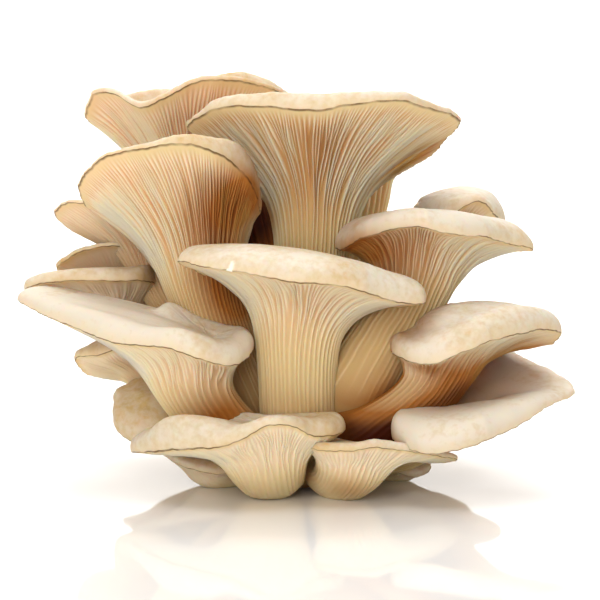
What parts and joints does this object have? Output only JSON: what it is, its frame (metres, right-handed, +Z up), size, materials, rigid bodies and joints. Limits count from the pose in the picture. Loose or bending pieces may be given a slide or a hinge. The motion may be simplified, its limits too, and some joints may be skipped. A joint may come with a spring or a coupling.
{
  "type": "oyster mushroom cluster",
  "caption": "Cluster of oyster mushrooms: flared caps with gills running down thick stems that spring from one cut base.",
  "frame": {"origin": "middle of the foot of the cluster's bounding box, on the surface it rests on", "axes": "+Z up as it rests, +X to the viewer's right along the widest spread of caps, +Y away from the viewer"},
  "size_m": [0.1768, 0.144, 0.1332],
  "materials": {
    "flesh": "soft, slightly damp skin: cream caps, pinkish white gill edges over orange-brown valleys",
    "cut_flesh": "fibrous, matt, where the cluster was cut from its block"
  },
  "bodies": {
    "root": {"cut_base": "cut_flesh", "mushroom_front_centre": "flesh", "mushroom_top_centre": "flesh", "mushroom_left_upper": "flesh", "mushroom_right_upper": "flesh", "mushroom_left_middle": "flesh", "mushroom_right_middle": "flesh", "mushroom_right_lower": "flesh", "mushroom_bottom_left": "flesh", "mushroom_bottom_right": "flesh", "mushroom_left_upper_side": "flesh", "mushroom_top_left": "flesh", "mushroom_top_back": "flesh", "mushroom_right_back_upper": "flesh", "mushroom_behind_top": "flesh", "mushroom_bottom_left_back": "flesh", "mushroom_left_lower": "flesh", "mushroom_left_low": "flesh", "mushroom_left_middle_back": "flesh", "mushroom_left_back": "flesh", "mushroom_right_low_small": "flesh", "mushroom_right_back_middle": "flesh", "mushroom_back_middle": "flesh", "mushroom_back_left": "flesh", "mushroom_back_right_low": "flesh", "mushroom_back_left_low": "flesh", "mushroom_right_low": "flesh", "mushroom_left_back_low": "flesh"}
  },
  "joints": []
}
